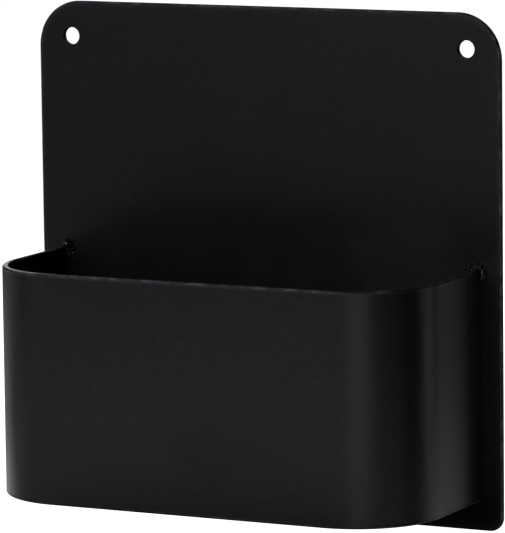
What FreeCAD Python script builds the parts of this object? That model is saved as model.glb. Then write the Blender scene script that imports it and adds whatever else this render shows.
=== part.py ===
import FreeCAD, Part
import os
import Sketcher

# Wall planter of welded sheet steel: a square back plate with two screw holes, a pocket band
# bent from one strip, a floor plate let into the foot of the band, and the weld beads that
# hold the three sheets together. Nothing moves.
#
# Frame: +Z up, +X to the right of someone who faces the planter. The wall is the plane y = 0
# and the front faces -Y. The origin lies on the wall, midway between the two screw holes.

SIZES = {
    # back plate
    "plate_width": 250.0,
    "plate_height": 250.0,
    "plate_thickness": 3.0,
    "plate_top_corner_radius": 22.5,
    "plate_bottom_corner_radius": 7.0,
    "plate_edge_round": 1.2,
    # screw holes in the back plate
    "hole_diameter": 8.5,
    "hole_side_inset": 18.0,
    "hole_top_inset": 17.5,
    "hole_front_round": 0.8,
    "hole_rear_round": 0.4,
    # pocket band
    "pocket_side_margin": 10.5,
    "pocket_depth": 91.0,
    "pocket_height": 112.5,
    "pocket_rise": 14.5,
    "band_thickness": 3.0,
    "band_bend_radius": 42.0,
    "band_edge_round": 1.2,
    # floor plate
    "floor_thickness": 3.0,
    "floor_recess": 3.0,
    "floor_clearance": 0.3,
    # weld beads at the rear ends of the band's rim and foot
    "bead_radius": 2.4,
    "bead_hang": 2.8,
    # stitch welds under the floor
    "stitch_radius": 2.2,
    "stitch_length": 15.0,
    "stitch_spread": 60.0,
}
EDGE_TOLERANCE = 1e-4
UP = FreeCAD.Vector(0, 0, 1)

doc = FreeCAD.newDocument("WallPlanter")


# ------------------------------------------------------------------ sizes and small helpers

def make_sheet():
    """Put each driving size in a row of the sheet, its name beside its value."""
    sheet = doc.addObject("Spreadsheet::Sheet", "Sizes")
    for row, (name, value) in enumerate(SIZES.items(), start=1):
        sheet.set(f"A{row}", name)
        sheet.set(f"B{row}", str(value))
        sheet.setAlias(f"B{row}", name)
    doc.recompute()
    return sheet


def cell(name):
    """How an expression names a cell of the sheet."""
    return f"Sizes.{name}"


def origin_feature(body, role):
    """A plane or axis of the body's own origin."""
    return next(item for item in body.Origin.OriginFeatures if item.Role == role)


def make_body(name):
    body = doc.addObject("PartDesign::Body", name)
    body.Label = name
    return body


def make_sketch(body, name, role):
    """An empty sketch on one of the body's origin planes."""
    sketch = body.newObject("Sketcher::SketchObject", name)
    sketch.AttachmentSupport = [(origin_feature(body, role), "")]
    sketch.MapMode = "FlatFace"
    return sketch


def bind(sketch, arguments, expression):
    """Add a dimension to the sketch and drive it by an expression."""
    index = sketch.addConstraint(Sketcher.Constraint(*arguments))
    sketch.setExpression(f"Constraints[{index}]", expression)
    return index


def draw_outline(sketch, corners):
    """Close a path of level and upright lines through the corners (x, y, radius).

    A corner with a radius is a tangent arc and one without is sharp. Returns the lines and
    the arcs by corner: line i runs from corner i to the next one.
    """
    count = len(corners)
    points = [FreeCAD.Vector(x, y, 0) for x, y, radius in corners]
    radii = [radius for x, y, radius in corners]

    def towards(i, j):
        return (points[j] - points[i]).normalize() * radii[i]

    lines = []
    for i in range(count):
        j = (i + 1) % count
        start = points[i] + towards(i, j)
        end = points[j] + towards(j, i)
        lines.append(sketch.addGeometry(Part.LineSegment(start, end)))
        level = abs(points[j].y - points[i].y) < abs(points[j].x - points[i].x)
        kind = "Horizontal" if level else "Vertical"
        sketch.addConstraint(Sketcher.Constraint(kind, lines[i]))
    arcs = {}
    for i in range(count):
        before = lines[i - 1]
        if not radii[i]:
            sketch.addConstraint(Sketcher.Constraint("Coincident", before, 2, lines[i], 1))
            continue
        back = towards(i, (i - 1) % count)
        ahead = towards(i, (i + 1) % count)
        centre = points[i] + back + ahead
        middle = centre - (back + ahead).normalize() * radii[i]
        arc = Part.Arc(points[i] + back, middle, points[i] + ahead)
        arcs[i] = sketch.addGeometry(arc)
        turns_left = back.cross(ahead).z < 0
        first, last = (1, 2) if turns_left else (2, 1)
        sketch.addConstraint(Sketcher.Constraint("Tangent", before, 2, arcs[i], first))
        sketch.addConstraint(Sketcher.Constraint("Tangent", arcs[i], last, lines[i], 1))
    return lines, arcs


def hold_sides(sketch, left, right, half, expression):
    """Hold two upright lines at the same distance left and right of the middle."""
    bind(sketch, ("DistanceX", left, 1, -1, 1, half), expression)
    bind(sketch, ("DistanceX", -1, 1, right, 1, half), expression)


def pad(body, sketch, name, length):
    feature = body.newObject("PartDesign::Pad", name)
    feature.Profile = sketch
    feature.setExpression("Length", length)
    doc.recompute()
    return feature


def round_edges(body, base, name, radius, wanted):
    """Round the edges of the base feature for which wanted(edge) is true."""
    edges = enumerate(base.Shape.Edges, start=1)
    names = [f"Edge{number}" for number, edge in edges if wanted(edge)]
    feature = body.newObject("PartDesign::Fillet", name)
    feature.Base = (base, names)
    feature.setExpression("Radius", radius)
    doc.recompute()
    return feature


def size(name):
    """The present value of a cell, in millimetres."""
    return float(sheet.get(name))


# ------------------------------------------------------------------------------ back plate

def make_back_plate():
    """Square sheet against the wall, its two top corners round, with two screw holes."""
    body = make_body("back_plate")
    half = size("plate_width") / 2
    top = size("hole_top_inset")
    bottom = top - size("plate_height")
    wide = size("plate_top_corner_radius")
    narrow = size("plate_bottom_corner_radius")
    sketch = make_sketch(body, "plate_outline", "XZ_Plane")
    corners = [(-half, bottom, narrow), (half, bottom, narrow), (half, top, wide), (-half, top, wide)]
    lines, arcs = draw_outline(sketch, corners)
    foot, right, head, left = lines
    hold_sides(sketch, left, right, half, f"{cell('plate_width')} / 2")
    bind(sketch, ("DistanceY", -1, 1, head, 1, top), cell("hole_top_inset"))
    bind(sketch, ("DistanceY", foot, 1, head, 2, top - bottom), cell("plate_height"))
    bind(sketch, ("Radius", arcs[0], narrow), cell("plate_bottom_corner_radius"))
    bind(sketch, ("Radius", arcs[2], wide), cell("plate_top_corner_radius"))
    sketch.addConstraint(Sketcher.Constraint("Equal", arcs[0], arcs[1]))
    sketch.addConstraint(Sketcher.Constraint("Equal", arcs[2], arcs[3]))
    sheet_pad = pad(body, sketch, "plate_sheet", cell("plate_thickness"))

    def on_a_face(edge):
        return edge.BoundBox.YLength < EDGE_TOLERANCE

    rounded = round_edges(body, sheet_pad, "plate_rounding", cell("plate_edge_round"), on_a_face)
    hole = cut_screw_hole(body, rounded)
    both = body.newObject("PartDesign::Mirrored", "screw_hole_pair")
    both.Originals = [hole]
    both.MirrorPlane = (origin_feature(body, "YZ_Plane"), [""])
    body.Tip = both
    doc.recompute()

    def on_a_hole(edge):
        curve = edge.Curve
        return isinstance(curve, Part.Circle) and edge.isClosed() and curve.Radius < wide

    def before_a_hole(edge):
        return on_a_hole(edge) and edge.BoundBox.YMax < -EDGE_TOLERANCE

    def behind_a_hole(edge):
        return on_a_hole(edge) and edge.BoundBox.YMin > -EDGE_TOLERANCE

    front = round_edges(body, both, "hole_front_rounding", cell("hole_front_round"), before_a_hole)
    rear = round_edges(body, front, "hole_rear_rounding", cell("hole_rear_round"), behind_a_hole)
    body.Tip = rear
    return body


def cut_screw_hole(body, base):
    """The right-hand screw hole, through the plate on the level of the origin."""
    across = size("plate_width") / 2 - size("hole_side_inset")
    sketch = make_sketch(body, "screw_hole_outline", "XZ_Plane")
    place = FreeCAD.Vector(across, 0, 0)
    circle = sketch.addGeometry(Part.Circle(place, UP, size("hole_diameter") / 2))
    sketch.addConstraint(Sketcher.Constraint("PointOnObject", circle, 3, -1))
    inset = f"{cell('plate_width')} / 2 - {cell('hole_side_inset')}"
    bind(sketch, ("DistanceX", -1, 1, circle, 3, across), inset)
    bind(sketch, ("Diameter", circle, size("hole_diameter")), cell("hole_diameter"))
    hole = body.newObject("PartDesign::Pocket", "screw_hole")
    hole.Profile = sketch
    hole.Type = "ThroughAll"
    hole.Midplane = True
    doc.recompute()
    if hole.Shape.Volume >= base.Shape.Volume:
        raise RuntimeError("the screw hole cut nothing")
    return hole


# ------------------------------------------------------------------------- band and floor

POCKET_HALF = f"({cell('plate_width')} / 2 - {cell('pocket_side_margin')})"
POCKET_BOTTOM = f"{cell('hole_top_inset')} - {cell('plate_height')} + {cell('pocket_rise')}"
FLOOR_BOTTOM = f"{POCKET_BOTTOM} + {cell('floor_recess')}"
RIM = f"{POCKET_BOTTOM} + {cell('pocket_height')}"


def pocket_half_width():
    return size("plate_width") / 2 - size("pocket_side_margin")


def make_pocket_band():
    """One strip bent into a U by two wide upright bends, its ends butted on the plate."""
    body = make_body("pocket_band")
    half = pocket_half_width()
    wall = size("band_thickness")
    rear = -size("plate_thickness")
    front = rear - size("pocket_depth")
    outer = size("band_bend_radius")
    inner = outer - wall
    sketch = make_sketch(body, "band_outline", "XY_Plane")
    sketch.setExpression("AttachmentOffset.Base.z", POCKET_BOTTOM)
    corners = [
        (-half, rear, 0),
        (-half, front, outer),
        (half, front, outer),
        (half, rear, 0),
        (half - wall, rear, 0),
        (half - wall, front + wall, inner),
        (wall - half, front + wall, inner),
        (wall - half, rear, 0),
    ]
    lines, arcs = draw_outline(sketch, corners)
    left, face, right, right_end, right_inside, face_inside, left_inside, left_end = lines
    hold_sides(sketch, left, right, half, POCKET_HALF)
    for end in (left_end, right_end):
        bind(sketch, ("DistanceY", end, 1, -1, 1, -rear), cell("plate_thickness"))
    bind(sketch, ("DistanceY", face, 1, left, 1, rear - front), cell("pocket_depth"))
    bind(sketch, ("Radius", arcs[1], outer), cell("band_bend_radius"))
    sketch.addConstraint(Sketcher.Constraint("Equal", arcs[1], arcs[2]))
    bind(sketch, ("DistanceX", left, 1, left_inside, 2, wall), cell("band_thickness"))
    sketch.addConstraint(Sketcher.Constraint("Coincident", arcs[6], 3, arcs[1], 3))
    sketch.addConstraint(Sketcher.Constraint("Coincident", arcs[5], 3, arcs[2], 3))
    strip = pad(body, sketch, "band_strip", cell("pocket_height"))

    def on_rim_or_foot(edge):
        box = edge.BoundBox
        at_the_plate = abs(box.YMin - rear) < EDGE_TOLERANCE
        return box.ZLength < EDGE_TOLERANCE and not at_the_plate

    rounding = round_edges(body, strip, "band_rounding", cell("band_edge_round"), on_rim_or_foot)
    body.Tip = rounding
    return body


def make_pocket_floor():
    """Flat plate that fits inside the band, a little above the band's lower edge."""
    body = make_body("pocket_floor")
    gap = size("floor_clearance")
    half = pocket_half_width() - size("band_thickness") - gap
    rear = -size("plate_thickness") - gap
    front = -size("plate_thickness") - size("pocket_depth") + size("band_thickness") + gap
    bend = size("band_bend_radius") - size("band_thickness") - gap
    sketch = make_sketch(body, "floor_outline", "XY_Plane")
    sketch.setExpression("AttachmentOffset.Base.z", FLOOR_BOTTOM)
    corners = [(-half, rear, 0), (-half, front, bend), (half, front, bend), (half, rear, 0)]
    lines, arcs = draw_outline(sketch, corners)
    left, face, right, back = lines
    inset = f"{cell('band_thickness')} + {cell('floor_clearance')}"
    hold_sides(sketch, left, right, half, f"{POCKET_HALF} - ({inset})")
    rear_gap = f"{cell('plate_thickness')} + {cell('floor_clearance')}"
    bind(sketch, ("DistanceY", left, 1, -1, 1, -rear), rear_gap)
    depth = f"{cell('pocket_depth')} - {cell('band_thickness')} - 2 * {cell('floor_clearance')}"
    bind(sketch, ("DistanceY", face, 1, left, 1, rear - front), depth)
    bind(sketch, ("Radius", arcs[1], bend), f"{cell('band_bend_radius')} - ({inset})")
    sketch.addConstraint(Sketcher.Constraint("Equal", arcs[1], arcs[2]))
    body.Tip = pad(body, sketch, "floor_sheet", cell("floor_thickness"))
    return body


# ----------------------------------------------------------------------------- weld beads

def make_drop(name, radius, place):
    """A ball of weld metal; place holds expressions along X, Y and Z."""
    drop = doc.addObject("Part::Sphere", name)
    drop.setExpression("Radius", radius)
    for axis, expression in zip("xyz", place):
        drop.setExpression(f"Placement.Base.{axis}", expression)
    return drop


def seat_bead(name, drops, sheets):
    """Join the drops and cut away what the sheets fill, so the bead sits on their faces."""
    metal = doc.addObject("Part::MultiFuse", f"{name}_metal")
    metal.Shapes = drops
    bead = doc.addObject("Part::Cut", name)
    bead.Label = name
    bead.Base = metal
    bead.Tool = sheets
    doc.recompute()
    return bead


def make_bead(name, places, sheets):
    """One drop at each place, joined and seated on the sheets."""
    radius = cell("bead_radius")
    numbered = enumerate(places, start=1)
    drops = [make_drop(f"{name}_drop{i}", radius, place) for i, place in numbered]
    return seat_bead(name, drops, sheets)


def make_rim_weld(name, side, sheets):
    """A bead laid over the rear end of the rim, where the band meets the plate.

    It climbs from the outer corner over the sheet's edge and into the inner corner. side is
    -1 or 1 for left or right.
    """
    outside = f"{side} * {POCKET_HALF}"
    inside = f"{side} * ({POCKET_HALF} - {cell('band_thickness')})"
    middle = f"{side} * ({POCKET_HALF} - {cell('band_thickness')} / 2)"
    corner = f"-{cell('plate_thickness')} - {cell('bead_radius')} / 4"
    hang = f"{RIM} - {cell('bead_hang')}"
    places = [(outside, corner, hang), (middle, corner, RIM), (inside, corner, hang)]
    return make_bead(name, places, sheets)


def make_foot_weld(name, side, sheets):
    """A bead in the corner under the floor, between the plate and the inside of the band."""
    corner_x = f"{POCKET_HALF} - {cell('band_thickness')}"
    corner_y = f"-{cell('plate_thickness')}"
    level = f"{FLOOR_BOTTOM} - {cell('bead_radius')} / 4"
    step = cell("bead_radius")
    places = [
        (f"{side} * ({corner_x})", f"{corner_y} - {step}", level),
        (f"{side} * ({corner_x})", corner_y, level),
        (f"{side} * ({corner_x} - {step})", corner_y, level),
    ]
    return make_bead(name, places, sheets)


def make_stitch(name, middle, along, sheets):
    """A short straight bead: a rod with round ends, centred on middle and laid along X or Y."""
    radius = cell("stitch_radius")
    reach = f"({cell('stitch_length')} / 2 - {radius})"
    ends = []
    for sign in (-1, 1):
        place = list(middle)
        axis = "xy".index(along)
        place[axis] = f"{middle[axis]} + {sign} * {reach}"
        ends.append(place)
    rod = doc.addObject("Part::Cylinder", f"{name}_rod")
    rod.setExpression("Radius", radius)
    rod.setExpression("Height", f"2 * {reach}")
    turn_axis = {"x": FreeCAD.Vector(0, 1, 0), "y": FreeCAD.Vector(-1, 0, 0)}[along]
    rod.Placement.Rotation = FreeCAD.Rotation(turn_axis, 90)
    for axis, expression in zip("xyz", ends[0]):
        rod.setExpression(f"Placement.Base.{axis}", expression)
    drops = [make_drop(f"{name}_end{i}", radius, place) for i, place in enumerate(ends, start=1)]
    return seat_bead(name, [rod] + drops, sheets)


def make_floor_welds(sheets):
    """Six stitch welds in the corner under the floor: front and rear pairs, one each side."""
    inner_face = f"{cell('pocket_depth')} - {cell('band_thickness')}"
    front = f"-{cell('plate_thickness')} - ({inner_face})"
    rear = f"-{cell('plate_thickness')}"
    side_wall = f"({POCKET_HALF} - {cell('band_thickness')})"
    straight = f"({cell('pocket_depth')} - {cell('band_bend_radius')})"
    side_middle = f"-{cell('plate_thickness')} - {straight} / 2"
    stitches = []
    for side, word in ((-1, "left"), (1, "right")):
        spread = f"{side} * {cell('stitch_spread')}"
        runs = {
            "front": ((spread, front, FLOOR_BOTTOM), "x"),
            "rear": ((spread, rear, FLOOR_BOTTOM), "x"),
            "side": ((f"{side} * {side_wall}", side_middle, FLOOR_BOTTOM), "y"),
        }
        for where, (middle, along) in runs.items():
            stitches.append(make_stitch(f"stitch_{where}_{word}", middle, along, sheets))
    group = doc.addObject("Part::Compound", "floor_welds")
    group.Label = "floor_welds"
    group.Links = stitches
    doc.recompute()
    return group


# ---------------------------------------------------------------------------------- build

def make_planter():
    plate = make_back_plate()
    band = make_pocket_band()
    floor = make_pocket_floor()
    sheets = doc.addObject("Part::MultiFuse", "sheets")
    sheets.Shapes = [plate, band, floor]
    doc.recompute()
    nodes = [plate, band, floor]
    for side, word in ((-1, "left"), (1, "right")):
        nodes.append(make_rim_weld(f"rim_weld_{word}", side, sheets))
        nodes.append(make_foot_weld(f"foot_weld_{word}", side, sheets))
    nodes.append(make_floor_welds(sheets))
    return nodes


def check_document(nodes):
    """Stop if an object of the document failed or a sub-part has no sound shape."""
    for item in doc.Objects:
        if {"Invalid", "Error"} & set(item.State):
            raise RuntimeError(f"{item.Name} failed: {item.State}")
    for node in nodes:
        shape = node.Shape
        if shape.isNull() or not shape.isValid() or not shape.Solids:
            raise RuntimeError(f"{node.Label} has no sound shape")


def write_steps(nodes):
    os.makedirs("parts", exist_ok=True)
    for node in nodes:
        node.Shape.exportStep(f"parts/{node.Label}.step")
        print(f"{node.Label}: {len(node.Shape.Solids)} solid(s), {node.Shape.Volume:.1f} mm3")


sheet = make_sheet()
planter_nodes = make_planter()
doc.recompute()
check_document(planter_nodes)
write_steps(planter_nodes)
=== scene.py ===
import math
import random

import bmesh
import bpy
from mathutils import Matrix, Vector, noise


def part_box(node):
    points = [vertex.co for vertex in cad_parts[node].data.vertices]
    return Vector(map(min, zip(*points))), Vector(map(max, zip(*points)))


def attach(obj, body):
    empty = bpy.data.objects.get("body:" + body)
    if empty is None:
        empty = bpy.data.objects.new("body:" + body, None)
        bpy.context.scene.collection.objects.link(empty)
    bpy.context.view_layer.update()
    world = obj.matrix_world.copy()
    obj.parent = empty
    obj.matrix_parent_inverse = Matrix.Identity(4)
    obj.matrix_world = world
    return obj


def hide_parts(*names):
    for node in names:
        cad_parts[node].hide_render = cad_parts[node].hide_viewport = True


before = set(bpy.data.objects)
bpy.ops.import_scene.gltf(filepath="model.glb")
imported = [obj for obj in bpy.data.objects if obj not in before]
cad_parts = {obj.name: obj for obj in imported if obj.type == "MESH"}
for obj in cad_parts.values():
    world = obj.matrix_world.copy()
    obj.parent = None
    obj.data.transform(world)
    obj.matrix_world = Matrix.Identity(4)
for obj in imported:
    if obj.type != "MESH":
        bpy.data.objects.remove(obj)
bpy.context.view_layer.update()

# Looks of the wall planter. The three sheets are shown as the frame holds them, with a coat of
# satin black paint. The weld beads are replaced by rippled ones, and spatter lies beside them.
# The stage is a pale table just under the planter, a white background and soft panels of light.
# Metres, Z up, the front faces -Y and the wall is the plane y = 0.

BODY = "root"
MM = 0.001


# ------------------------------------------------------------------------ places in the frame

plate_low, plate_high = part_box("back_plate")
band_low, band_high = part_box("pocket_band")
PLATE_FACE = plate_low.y
RIM = band_high.z
FOOT = band_low.z
SHEET = 3 * MM
INNER_SIDE = band_high.x - SHEET
TOP_CORNER_RADIUS = 22.5 * MM
BOTTOM_CORNER_RADIUS = 7 * MM
LEFT, RIGHT = -1, 1


# --------------------------------------------------------------------------------- materials

PLATE_PAINT = {
    "dark": (0.0018, 0.0019, 0.0028),
    "light": (0.0085, 0.0087, 0.0098),
    "roughness": (0.38, 0.42),
    "shine": 0.41,
}
POCKET_PAINT = {
    "dark": (0.005, 0.0052, 0.0062),
    "light": (0.0125, 0.0127, 0.0138),
    "roughness": (0.31, 0.34),
    "shine": 0.5,
}
WELD_DARK = (0.0085, 0.0088, 0.0102)
WELD_LIGHT = (0.03, 0.03, 0.032)
WELD_ROUGHNESS = (0.15, 0.26)
# Edge colours: worn paint made lighter still as a painted highlight along the sheets' edges.
RUBBED_AND_PAINTED_SHEEN = (0.034, 0.034, 0.036)
WORN_AND_PAINTED_HIGHLIGHT = (0.14, 0.14, 0.142)
# Painted shade: the colour of the pocket's painted shadow on the plate and of a painted dark reflection
# on the pocket's front.
PAINTED_SHADE_AND_DARK_REFLECTION = (0.0018, 0.002, 0.0025)
# Painted light: the colour of a paler patch of light painted on the plate.
PAINTED_LIGHT_COLOUR = (0.023, 0.0225, 0.023)

# Grains are the size of the lumps of a noise, depths are those of its relief.
PEEL_GRAIN, PEEL_DEPTH = 1.2 * MM, 0.012 * MM
PIT_GRAIN, PIT_DEPTH = 3.5 * MM, 0.13 * MM
PATCH_GRAIN = 40 * MM
CLOUD_GRAIN = 26 * MM
WAVE_GRAIN, WAVE_DEPTH = 7 * MM, 0.35 * MM
DASH_GRAIN = 8 * MM
WELD_SKIN_GRAIN, WELD_SKIN_DEPTH = 0.7 * MM, 0.06 * MM
RAGGED_GRAIN, RAGGED_EDGE = 14 * MM, 5 * MM

# How far in from a sheet's edge the waves, the lighter dashes and the lighter border start and end; the
# dashes and the border are worn paint with painted highlight.
WAVE_REACH = (0.4 * MM, 1.9 * MM)
DASH_REACH = (0.5 * MM, 1.4 * MM)
PLATE_RUB_AND_SHEEN_REACH = (0, 4 * MM)
BAND_RUB_AND_SHEEN_REACH = (0, 1.2 * MM)

# Patches of painted light, shadow and reflection on the sheets: the middle, the radius, the strength and
# the colour of each.
PAINTED_PATCH_CORE = 0.4
PAINTED_PATCH_DEPTH_SHARE = 25
# A painted dark reflection low on the pocket's front.
BAND_PAINTED_REFLECTION = [((12 * MM, band_low.y, -188 * MM), 24 * MM, 0.7, PAINTED_SHADE_AND_DARK_REFLECTION)]
PLATE_PAINTED_LIGHT_AND_SHADOW = [
    # Painted light on the plate near the pocket's right end.
    ((74 * MM, PLATE_FACE, -108 * MM), 38 * MM, 0.9, PAINTED_LIGHT_COLOUR),
    # Painted shadow of the pocket on the plate, just above its rim.
    ((-26 * MM, PLATE_FACE, -92 * MM), 58 * MM, 0.9, PAINTED_SHADE_AND_DARK_REFLECTION),
]


class Shader:
    """A material under construction: makes nodes and joins their sockets."""

    def __init__(self, name):
        self.material = bpy.data.materials.new(name)
        self.material.use_nodes = True
        self.tree = self.material.node_tree
        self.surface = self.tree.nodes["Principled BSDF"]

    def feed(self, socket, value):
        if isinstance(value, bpy.types.NodeSocket):
            self.tree.links.new(value, socket)
        else:
            socket.default_value = value

    def node(self, kind, inputs=None, **settings):
        """A new node; inputs maps socket names to numbers, or to the sockets that feed them."""
        made = self.tree.nodes.new(kind)
        for setting, value in settings.items():
            setattr(made, setting, value)
        for socket, value in (inputs or {}).items():
            self.feed(made.inputs[socket], value)
        return made

    def surface_input(self, socket, value):
        self.feed(self.surface.inputs[socket], value)

    def math(self, operation, first, second=0.0):
        inputs = {0: first, 1: second}
        return self.node("ShaderNodeMath", inputs, operation=operation).outputs["Value"]

    def place(self):
        return self.node("ShaderNodeTexCoord").outputs["Object"]

    def place_parts(self):
        return self.node("ShaderNodeSeparateXYZ", {"Vector": self.place()}).outputs

    def noise(self, grain, detail=2.0, roughness=0.5):
        """Soft noise whose lumps are about one grain across, in metres."""
        inputs = {"Vector": self.place(), "Scale": 1 / grain, "Detail": detail, "Roughness": roughness}
        return self.node("ShaderNodeTexNoise", inputs).outputs["Fac"]

    def spread(self, value, low, high, from_low=0.35, from_high=0.65, smooth=False):
        """The value, which varies over the surface, carried over to low ... high."""
        inputs = {
            "Value": value,
            "From Min": from_low,
            "From Max": from_high,
            "To Min": low,
            "To Max": high,
        }
        kind = "SMOOTHSTEP" if smooth else "LINEAR"
        return self.node("ShaderNodeMapRange", inputs, interpolation_type=kind).outputs["Result"]

    def fade(self, value, reach, most=1):
        """From most at the near end of the reach down to nothing at its far end."""
        return self.spread(value, most, 0, *reach, smooth=True)

    def ramp(self, value, low_colour, high_colour, low=0.35, high=0.65):
        """The low colour up to the value low, the high one from the value high."""
        made = self.node("ShaderNodeValToRGB", {"Fac": value})
        first, last = made.color_ramp.elements
        first.position, last.position = low, high
        first.color, last.color = (*low_colour, 1), (*high_colour, 1)
        return made.outputs["Color"]

    def mix(self, share, first, second_colour):
        """The first colour where the share is 0, the second where it is 1."""
        inputs = {0: share, 6: first, 7: (*second_colour, 1)}
        return self.node("ShaderNodeMix", inputs, data_type="RGBA").outputs[2]

    def bump(self, height, depth, below=None):
        """Relief of the given depth in metres, on top of the relief below."""
        inputs = {"Height": height, "Distance": depth, "Strength": 1.0}
        if below is not None:
            inputs["Normal"] = below
        return self.node("ShaderNodeBump", inputs).outputs["Normal"]


def from_plate_edge(shader):
    """How far in from the plate's outline the point lies: a rounded rectangle's distance."""
    x, _, z = shader.place_parts()
    half = (plate_high.z - plate_low.z) / 2
    middle = (plate_high.z + plate_low.z) / 2
    level = shader.math("SUBTRACT", z, middle)
    round_ends = (BOTTOM_CORNER_RADIUS, TOP_CORNER_RADIUS)
    radius = shader.spread(level, *round_ends, from_low=-MM, from_high=MM)
    core = shader.math("SUBTRACT", half, radius)
    across = shader.math("SUBTRACT", shader.math("ABSOLUTE", x), core)
    upward = shader.math("SUBTRACT", shader.math("ABSOLUTE", level), core)
    over_x = shader.math("MAXIMUM", across)
    over_z = shader.math("MAXIMUM", upward)
    squares = shader.math("ADD", shader.math("POWER", over_x, 2), shader.math("POWER", over_z, 2))
    beyond = shader.math("SQRT", squares)
    within = shader.math("MINIMUM", shader.math("MAXIMUM", across, upward))
    return shader.math("SUBTRACT", radius, shader.math("ADD", beyond, within))


def from_band_edge(shader):
    """How far in from the band's rim or foot the point lies."""
    _, _, z = shader.place_parts()
    half, middle = (RIM - FOOT) / 2, (RIM + FOOT) / 2
    from_middle = shader.math("ABSOLUTE", shader.math("SUBTRACT", z, middle))
    return shader.math("SUBTRACT", half, from_middle)


def from_painted_patch(shader, middle):
    """How far the point lies from the middle of a patch of painted shadow, light or reflection, with a
    ragged edge.

    Depth counts many times over, so that the painted patch does not show on the sheet's other face.
    """
    squares = 0.0
    for part, at, share in zip(shader.place_parts(), middle, (1, PAINTED_PATCH_DEPTH_SHARE, 1)):
        along = shader.math("MULTIPLY", shader.math("SUBTRACT", part, at), share)
        squares = shader.math("ADD", shader.math("POWER", along, 2), squares)
    away = shader.math("SQRT", squares)
    ragged = shader.spread(shader.noise(RAGGED_GRAIN, detail=3.0), -RAGGED_EDGE, RAGGED_EDGE)
    return shader.math("ADD", away, ragged)


def wear_and_highlight_edges(shader, inward, rub_and_sheen_reach, tint, relief):
    """Wavy edges with a lighter border and lighter dashes, worn paint brightened further as painted
    highlight, where inward is the way in from the edge.
    """
    waves = shader.noise(WAVE_GRAIN)
    near = shader.fade(inward, WAVE_REACH)
    relief = shader.bump(shader.math("MULTIPLY", waves, near), WAVE_DEPTH, relief)
    # A lighter border and lighter dashes along the edge: worn paint and painted highlight.
    rubbed_and_painted_sheen = shader.math("MULTIPLY", shader.fade(inward, rub_and_sheen_reach), shader.spread(waves, 0.4, 1))
    tint = shader.mix(rubbed_and_painted_sheen, tint, RUBBED_AND_PAINTED_SHEEN)
    dashes = shader.noise(DASH_GRAIN, detail=3.0)
    dashes = shader.spread(dashes, 0.1, 1, from_low=0.46, from_high=0.64, smooth=True)
    worn_and_painted_highlight = shader.math("MULTIPLY", shader.fade(inward, DASH_REACH), dashes)
    return shader.mix(worn_and_painted_highlight, tint, WORN_AND_PAINTED_HIGHLIGHT), relief


def black_coat(name, paint, from_edge=None, rub_and_sheen_reach=None, painted_patches=()):
    """Satin black paint on sheet steel: orange peel, pitting in patches, worn edges lightened further by
    painted highlights, and patches of painted shadow, light and reflection.
    """
    shader = Shader(name)
    clouds = shader.noise(CLOUD_GRAIN, detail=3.0, roughness=0.6)
    pits = shader.noise(PIT_GRAIN, detail=4.0, roughness=0.7)
    patches = shader.spread(shader.noise(PATCH_GRAIN, detail=1.0), 0.3, 1, smooth=True)
    peel = shader.noise(PEEL_GRAIN, detail=1.0)
    mottle = shader.math("MULTIPLY", shader.math("SUBTRACT", pits, 0.5), patches)
    mottle = shader.math("ADD", mottle, 0.5)
    tint = shader.ramp(mottle, paint["dark"], paint["light"], low=0.38, high=0.62)
    relief = shader.bump(peel, PEEL_DEPTH)
    relief = shader.bump(shader.math("MULTIPLY", pits, patches), PIT_DEPTH, relief)
    if from_edge:
        tint, relief = wear_and_highlight_edges(shader, from_edge(shader), rub_and_sheen_reach, tint, relief)
    # Painted shadow, light and reflection laid over the paint's own colour.
    for middle, radius, strength, colour in painted_patches:
        painted_patch = shader.fade(from_painted_patch(shader, middle), (PAINTED_PATCH_CORE * radius, radius), strength)
        tint = shader.mix(painted_patch, tint, colour)
    shader.surface_input("Base Color", tint)
    shader.surface_input("Roughness", shader.spread(clouds, *paint["roughness"]))
    shader.surface_input("Specular IOR Level", paint["shine"])
    shader.surface_input("Normal", relief)
    return shader.material


def weld_coat():
    """The same paint pulled thin and glossy over weld metal."""
    shader = Shader("weld_coat")
    skin = shader.noise(WELD_SKIN_GRAIN, detail=3.0, roughness=0.6)
    shader.surface_input("Base Color", shader.ramp(skin, WELD_DARK, WELD_LIGHT))
    shader.surface_input("Roughness", shader.spread(skin, *WELD_ROUGHNESS))
    shader.surface_input("Normal", shader.bump(skin, WELD_SKIN_DEPTH))
    return shader.material


def coat_sheets():
    """Each sheet as the frame holds it, with its coat in place of the plain material."""
    plate = black_coat("black_coat_plate", PLATE_PAINT, from_plate_edge, PLATE_RUB_AND_SHEEN_REACH, PLATE_PAINTED_LIGHT_AND_SHADOW)
    band = black_coat("black_coat_band", POCKET_PAINT, from_band_edge, BAND_RUB_AND_SHEEN_REACH, BAND_PAINTED_REFLECTION)
    floor = black_coat("black_coat_floor", POCKET_PAINT)
    for node, material in (("back_plate", plate), ("pocket_band", band), ("pocket_floor", floor)):
        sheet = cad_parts[node]
        sheet.data.materials.clear()
        sheet.data.materials.append(material)


# ------------------------------------------------------------------------------------- welds

MELT_GRAIN = 0.2 * MM
WELD_SINK = 0.2 * MM
WRINKLE_DEPTH, WRINKLE_GRAIN = 0.3 * MM, 1.0 * MM

# The foot welds: drops of this size laid up the corner, this far apart and this far off it.
FOOT_DROP = (1.7 * MM, 2.1 * MM)
FOOT_DROP_FLATNESS = 0.62
FOOT_DROP_STEP = 0.95 * MM
FOOT_DROP_OFF, FOOT_DROP_LEAN = 1.0 * MM, 0.25 * MM
FOOT_WELD_MARGINS = (1.4 * MM, 0.6 * MM)

# The stitches: drops of this size laid one over the next, squashed along the line.
STITCH_DROP = (1.55 * MM, 1.85 * MM)
STITCH_SQUASH = 0.42
STITCH_STEP = 1.25 * MM
STITCH_MARGIN, STITCH_RISE = 1.2 * MM, 0.5 * MM

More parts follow.
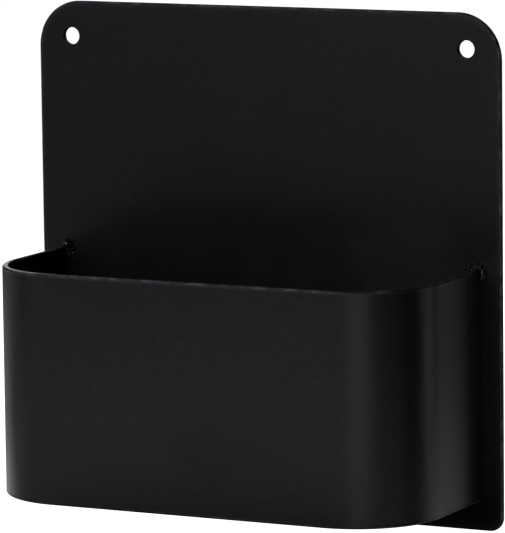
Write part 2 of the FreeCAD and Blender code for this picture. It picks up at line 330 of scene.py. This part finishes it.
# The spatter beside each rim weld: half turns round it, the reach and the size of the drops.
SPATTER_DROPS = 34
SPATTER_TURN = (-0.15, 1.1)
SPATTER_REACH = (3.4 * MM, 7.5 * MM)
SPATTER_SIZE = (0.25 * MM, 0.6 * MM)
SPATTER_SHIFT = 1.2 * MM


def add_drop(mesh, centre, radii, detail=3):
    """A drop of weld metal: a ball squashed to the three radii."""
    place = Matrix.Translation(centre) @ Matrix.Diagonal((*radii, 1))
    bmesh.ops.create_icosphere(mesh, subdivisions=detail, radius=1, matrix=place)


def new_piece(name, mesh, material, replaced=None):
    """An object from the mesh, smooth, on the body, with the welds' slot and material."""
    data = bpy.data.meshes.new(name)
    mesh.to_mesh(data)
    mesh.free()
    data.materials.append(material)
    data.shade_smooth()
    piece = bpy.data.objects.new(name, data)
    bpy.context.scene.collection.objects.link(piece)
    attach(piece, BODY)
    if replaced:
        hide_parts(replaced)
    return piece


def run_together(drops):
    """The drops melted into one closed skin with a little of their ripple left."""
    mesh = bmesh.new()
    for centre, radii in drops:
        add_drop(mesh, centre, radii)
    data = bpy.data.meshes.new("drops")
    mesh.to_mesh(data)
    mesh.free()
    rough = bpy.data.objects.new("drops", data)
    bpy.context.scene.collection.objects.link(rough)
    remesh = rough.modifiers.new("melt", "REMESH")
    remesh.mode = "VOXEL"
    remesh.voxel_size = MELT_GRAIN
    soften = rough.modifiers.new("soften", "SMOOTH")
    soften.factor = 0.5
    soften.iterations = 4
    melted = bmesh.new()
    melted.from_object(rough, bpy.context.evaluated_depsgraph_get())
    bpy.data.objects.remove(rough)
    bpy.data.meshes.remove(data)
    return melted


def wrinkle(mesh, depth, grain, seed):
    """Push the skin in and out along its normals by seeded noise."""
    offset = Vector((seed * 3.7, seed * 1.9, seed * 5.3))
    mesh.normal_update()
    moves = [(v, v.normal * noise.noise(v.co / grain + offset) * depth) for v in mesh.verts]
    for vertex, move in moves:
        vertex.co += move


def cut_flat(mesh, point, normal):
    """Cut away what lies beyond the plane, on the side of its normal, and close the cut."""
    everything = mesh.verts[:] + mesh.edges[:] + mesh.faces[:]
    cut = bmesh.ops.bisect_plane(mesh, geom=everything, plane_co=point, plane_no=normal, clear_outer=True)
    rim = [item for item in cut["geom_cut"] if isinstance(item, bmesh.types.BMEdge)]
    bmesh.ops.contextual_create(mesh, geom=rim)


def weld(node, drops, material, seed):
    """A rippled bead in place of the frame's plain one, sunk a little into the plate."""
    mesh = run_together(drops)
    wrinkle(mesh, WRINKLE_DEPTH, WRINKLE_GRAIN, seed)
    cut_flat(mesh, Vector((0, PLATE_FACE + WELD_SINK, 0)), Vector((0, 1, 0)))
    return new_piece(node + "_bead", mesh, material, node)


def from_corner(side, inward, out, up, level=RIM):
    """A point given from the corner of band and plate: inward to the pocket, out from the plate."""
    return Vector((side * (INNER_SIDE - inward), PLATE_FACE - out, level + up))


def rim_weld(node, side, crown, lumps, material, seed):
    """Weld metal over the rear end of the rim, with lumps down the corner on both sides."""
    drops = []
    for (inward, out, up), radii in crown + lumps:
        place = from_corner(side, inward * MM, out * MM, up * MM)
        drops.append((place, [radius * MM for radius in radii]))
    return weld(node, drops, material, seed)


# The drops of each rim weld in millimetres: (inward, out, up) from the corner, then the radii.
LEFT_CROWN = [
    ((0.7, 2.1, 1.5), (2.6, 2.4, 2.3)),
    ((-1.7, 1.1, 0.3), (1.7, 1.5, 1.2)),
    ((-3.2, 0.8, -0.4), (1.2, 1.1, 1.1)),
]
LEFT_LUMPS = [
    ((1.4, 0.9, -1.4), (1.3, 1.2, 1.4)),
    ((2.0, 1.1, -3.6), (1.8, 1.4, 1.2)),
    ((3.6, 0.6, -1.2), (0.9, 0.8, 0.9)),
    ((4.1, 0.6, -3.0), (0.8, 0.8, 0.8)),
    ((3.4, 0.5, -5.2), (0.8, 0.7, 0.8)),
    ((-3.8, 0.9, -2.2), (1.1, 1.1, 1.3)),
]
RIGHT_CROWN = [
    ((-0.2, 1.2, 0.6), (1.6, 1.6, 1.3)),
    ((-2.2, 1.7, 1.3), (1.8, 1.9, 1.6)),
    ((1.3, 0.9, -0.5), (1.2, 1.2, 1.3)),
]
RIGHT_LUMPS = [
    ((-3.9, 1.0, 0.3), (1.3, 1.2, 1.2)),
    ((-4.3, 1.2, -1.8), (1.5, 1.4, 1.3)),
    ((-3.6, 1.0, -3.7), (1.2, 1.2, 1.1)),
    ((1.5, 0.8, -2.6), (1.1, 1.1, 1.3)),
    ((-1.2, 2.8, 2.3), (0.8, 0.8, 0.8)),
    ((-3.4, 2.4, 2.2), (0.7, 0.8, 0.7)),
    ((-5.3, 0.5, 0.9), (0.7, 0.7, 0.7)),
    ((-5.7, 0.5, -1.3), (0.6, 0.7, 0.7)),
    ((-5.1, 0.6, -3.1), (0.6, 0.7, 0.6)),
]


def foot_weld(node, side, material, seed):
    """A bead up the inner corner of band and plate under the floor."""
    chance = random.Random(seed)
    low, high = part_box(node)
    below, above = FOOT_WELD_MARGINS
    drops = []
    up = low.z + below
    while up < high.z - above:
        lean = chance.uniform(-FOOT_DROP_LEAN, FOOT_DROP_LEAN)
        place = from_corner(side, FOOT_DROP_OFF + lean, FOOT_DROP_OFF - lean, up, level=0)
        radius = chance.uniform(*FOOT_DROP)
        drops.append((place, (radius, radius, radius * FOOT_DROP_FLATNESS)))
        up += FOOT_DROP_STEP
    return weld(node, drops, material, seed)


def stitch(start, end, chance):
    """Drops laid one over the next along a line, as a short weld is run."""
    line = end - start
    steps = max(2, round(line.length / STITCH_STEP))
    along = [abs(part) / line.length for part in line]
    drops = []
    for i in range(steps + 1):
        radius = chance.uniform(*STITCH_DROP)
        radii = [radius * (1 - STITCH_SQUASH * part) for part in along]
        drops.append((start + line * i / steps, radii))
    return drops


def floor_weld_ends():
    """The two ends of each stitch under the floor, read from the solids of the frame's node."""
    mesh = bmesh.new()
    mesh.from_mesh(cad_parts["floor_welds"].data)
    bmesh.ops.remove_doubles(mesh, verts=mesh.verts, dist=0.01 * MM)
    waiting = set(mesh.verts)
    ends = []
    while waiting:
        island, edge_of_island = [], [waiting.pop()]
        while edge_of_island:
            vertex = edge_of_island.pop()
            island.append(vertex.co)
            for edge in vertex.link_edges:
                other = edge.other_vert(vertex)
                if other in waiting:
                    waiting.remove(other)
                    edge_of_island.append(other)
        low = Vector([min(place[axis] for place in island) for axis in range(3)])
        high = Vector([max(place[axis] for place in island) for axis in range(3)])
        ends.append(stitch_line(low, high))
    mesh.free()
    return sorted(ends, key=lambda pair: (pair[0].x, pair[0].y))


def stitch_line(low, high):
    """The line a stitch follows: the middle of its box, along its longer side."""
    axis = 0 if high.x - low.x > high.y - low.y else 1
    start, end = (low + high) / 2, (low + high) / 2
    start[axis] = low[axis] + STITCH_MARGIN
    end[axis] = high[axis] - STITCH_MARGIN
    rise = Vector((0, 0, STITCH_RISE))
    return start + rise, end + rise


def floor_welds(material):
    """The six stitches under the floor."""
    chance = random.Random(31)
    drops = [drop for start, end in floor_weld_ends() for drop in stitch(start, end, chance)]
    return weld("floor_welds", drops, material, 8)


def spatter(name, side, material, seed):
    """Small drops thrown on the plate around a rim weld."""
    chance = random.Random(seed)
    mesh = bmesh.new()
    for _ in range(SPATTER_DROPS):
        angle = chance.uniform(*SPATTER_TURN) * math.pi
        reach = chance.uniform(*SPATTER_REACH)
        inward = reach * math.cos(angle) - SPATTER_SHIFT
        up = reach * math.sin(angle) * 0.9
        radius = chance.uniform(*SPATTER_SIZE)
        place = from_corner(side, inward, radius * 0.15, up)
        add_drop(mesh, place, (radius, radius * 0.6, radius), detail=2)
    wrinkle(mesh, 0.05 * MM, 0.3 * MM, seed)
    return new_piece(name, mesh, material)


def make_welds(material):
    rim_weld("rim_weld_left", LEFT, LEFT_CROWN, LEFT_LUMPS, material, 1)
    rim_weld("rim_weld_right", RIGHT, RIGHT_CROWN, RIGHT_LUMPS, material, 2)
    foot_weld("foot_weld_left", LEFT, material, 3)
    foot_weld("foot_weld_right", RIGHT, material, 4)
    floor_welds(material)
    spatter("weld_spatter_left", LEFT, material, 5)
    spatter("weld_spatter_right", RIGHT, material, 6)


# ------------------------------------------------------------------------------------ camera

IMAGE_HEIGHT = 533
VIEW_AZIMUTH = math.radians(26.739)
VIEW_ELEVATION = math.radians(8.026)
VIEW_ROLL = math.radians(-0.697)
VIEW_DISTANCE = 2.3105
VIEW_TARGET = Vector((-0.0079, -0.003, -0.1103))
FOCAL_LENGTH_PIXELS = 4719.8
SENSOR = 36.0


def make_camera():
    """The camera stands where the photograph's outline of plate and pocket puts it."""
    level = math.cos(VIEW_ELEVATION)
    level_back = Vector((math.sin(VIEW_AZIMUTH), -math.cos(VIEW_AZIMUTH), 0)) * level
    back = level_back + Vector((0, 0, math.sin(VIEW_ELEVATION)))
    right = Vector((math.cos(VIEW_AZIMUTH), math.sin(VIEW_AZIMUTH), 0))
    up = back.cross(right)
    cos, sin = math.cos(VIEW_ROLL), math.sin(VIEW_ROLL)
    across = right * cos + up * sin
    upward = up * cos - right * sin
    camera = bpy.data.objects.new("camera", bpy.data.cameras.new("camera"))
    turn = Matrix((across, upward, back)).transposed().to_4x4()
    camera.matrix_world = Matrix.Translation(VIEW_TARGET + back * VIEW_DISTANCE) @ turn
    camera.data.sensor_width = SENSOR
    camera.data.lens = SENSOR * FOCAL_LENGTH_PIXELS / IMAGE_HEIGHT
    bpy.context.scene.collection.objects.link(camera)
    bpy.context.scene.camera = camera


# ------------------------------------------------------------------------------------- stage

MIDDLE = Vector((0, -0.045, -0.1))
TABLE = -0.25
NEUTRAL = (1, 1, 1)
COOL = (0.94, 0.965, 1.055)
FAR, NEAR = 1.2, 0.5
GLOW_HEIGHT = 0.1
ROOM_BRIGHTNESS = 0.002
TABLE_HALF_WIDTH, TABLE_BRIGHTNESS = 6, 1.1
CARD_HALF_WIDTH, CARD_GAP = 105 * MM, 0.3 * MM


def direction(azimuth, elevation):
    """Unit vector from the planter: azimuth 0 is its front, 90 its right-hand side."""
    around, above = math.radians(azimuth), math.radians(elevation)
    level = math.cos(above)
    return Vector((math.sin(around) * level, -math.cos(around) * level, math.sin(above)))


def softbox(name, azimuth, elevation, distance, width, height, brightness, colour=NEUTRAL, aim=MIDDLE):
    """A soft panel of even brightness that faces the planter."""
    lamp = bpy.data.lights.new(name, "AREA")
    lamp.shape = "RECTANGLE"
    lamp.size, lamp.size_y = width, height
    lamp.energy = brightness * math.pi * width * height
    lamp.color = colour
    panel = bpy.data.objects.new(name, lamp)
    outward = direction(azimuth, elevation)
    turn = outward.to_track_quat("Z", "Y").to_matrix().to_4x4()
    panel.matrix_world = Matrix.Translation(aim + outward * distance) @ turn
    panel.visible_camera = False
    bpy.context.scene.collection.objects.link(panel)


def beside(height):
    """The middle of the planter, at another height."""
    return Vector((MIDDLE.x, MIDDLE.y, height))


def table_glow(name, left, right, front, rear, brightness):
    """Light that comes back up from one stretch of the pale table."""
    over = Vector(((left + right) / 2, (front + rear) / 2, TABLE + GLOW_HEIGHT))
    softbox(name, 0, -90, GLOW_HEIGHT, right - left, rear - front, brightness, COOL, over)


def light_studio():
    """Panels round the planter, placed where the photograph's reflections call for them.

    A softbox is given by azimuth, elevation, distance, width, height and brightness, and a
    stretch of table by its left, right, front and rear and its brightness.
    """
    softbox("key", -6, 21, FAR, 0.5, 0.4, 3.1, COOL)
    softbox("fill", -26, 14, FAR, 0.4, 0.2, 1.25, COOL)
    softbox("front_left", -50, 4, FAR, 0.5, 0.3, 0.4, COOL)
    softbox("front_right", 28, -6, FAR, 0.5, 0.25, 0.75, COOL)
    softbox("left_wall", -90, 0, FAR, 0.42, 0.4, 0.33)
    softbox("left_low", -115, -17, FAR, 0.7, 0.35, 0.43)
    softbox("right_back_low", 138, 0, NEAR, 0.45, 0.2, 0.3, aim=beside(-0.35))
    softbox("right_side", 118, 0, NEAR, 0.12, 0.15, 0.44, aim=beside(-0.175))
    softbox("right_back", 150, 0, NEAR, 0.24, 0.15, 0.15, aim=beside(-0.175))
    softbox("backdrop", -150, 8, FAR, 0.7, 0.5, 1.3)
    softbox("backdrop_high", -118, 33, FAR, 0.6, 0.5, 0.8)
    softbox("high_left", -75, 62, FAR, 0.6, 0.5, 0.6)
    softbox("back_fill", 180, 35, FAR, 0.8, 0.6, 0.6)
    table_glow("table_front", -0.35, 0.35, -0.8, -0.25, 0.53)
    table_glow("table_near_left", -0.35, -0.12, -0.25, -0.1, 0.25)
    table_glow("table_near_right", 0.12, 0.35, -0.25, -0.1, 0.28)
    table_glow("table_far_left", -0.7, -0.35, -0.8, -0.1, 0.4)
    table_glow("table_far_right", 0.35, 0.7, -0.8, -0.1, 0.22)
    table_glow("table_beside_left", -0.35, -0.13, -0.1, 0.1, 0.46)
    table_glow("table_beside_right", 0.13, 0.35, -0.1, 0.1, 0.16)


def stage_piece(name, mesh, material):
    """An object from the mesh that belongs to the stage and not to the planter."""
    data = bpy.data.meshes.new(name)
    mesh.to_mesh(data)
    mesh.free()
    data.materials.append(material)
    piece = bpy.data.objects.new(name, data)
    bpy.context.scene.collection.objects.link(piece)
    return piece


def make_table():
    """The plain pale surface just under the planter, so bright that it runs into the background."""
    shader = Shader("pale_table")
    shade = shader.ramp(shader.noise(0.3), (0.96, 0.96, 0.96), NEUTRAL)
    shader.surface_input("Base Color", shade)
    shader.surface_input("Emission Color", shade)
    shader.surface_input("Emission Strength", TABLE_BRIGHTNESS)
    mesh = bmesh.new()
    bmesh.ops.create_grid(mesh, x_segments=1, y_segments=1, size=TABLE_HALF_WIDTH)
    table = stage_piece("floor_stage", mesh, shader.material)
    table.location.z = TABLE - MM
    for rays in ("diffuse", "glossy", "transmission", "shadow"):
        setattr(table, "visible_" + rays, False)


def shade_the_foot():
    """A black card under the pocket's front, which keeps the light out from under the floor."""
    shader = Shader("black_card")
    shade = shader.ramp(shader.noise(10 * MM), (0.002, 0.002, 0.002), (0.004, 0.004, 0.004))
    shader.surface_input("Base Color", shade)
    mesh = bmesh.new()
    side, top, foot = CARD_HALF_WIDTH, FOOT - CARD_GAP, plate_low.z
    corners = [(-side, foot), (side, foot), (side, top), (-side, top)]
    mesh.faces.new([mesh.verts.new((x, band_low.y + MM, z)) for x, z in corners])
    card = stage_piece("black_card_stage", mesh, shader.material)
    card.visible_camera = False


def make_world():
    """White behind the planter for the camera, and a dim even room for everything else."""
    world = bpy.data.worlds.new("studio")
    bpy.context.scene.world = world
    world.use_nodes = True
    tree = world.node_tree
    room = tree.nodes["Background"]
    room.inputs["Color"].default_value = (*NEUTRAL, 1)
    room.inputs["Strength"].default_value = ROOM_BRIGHTNESS
    backdrop = tree.nodes.new("ShaderNodeBackground")
    backdrop.inputs["Color"].default_value = (*NEUTRAL, 1)
    seen = tree.nodes.new("ShaderNodeLightPath").outputs["Is Camera Ray"]
    choice = tree.nodes.new("ShaderNodeMixShader")
    tree.links.new(seen, choice.inputs["Fac"])
    tree.links.new(room.outputs["Background"], choice.inputs[1])
    tree.links.new(backdrop.outputs["Background"], choice.inputs[2])
    tree.links.new(choice.outputs["Shader"], tree.nodes["World Output"].inputs["Surface"])


make_world()
make_table()
shade_the_foot()
light_studio()
coat_sheets()
make_welds(weld_coat())
make_camera()
bpy.context.scene.view_settings.view_transform = "Standard"
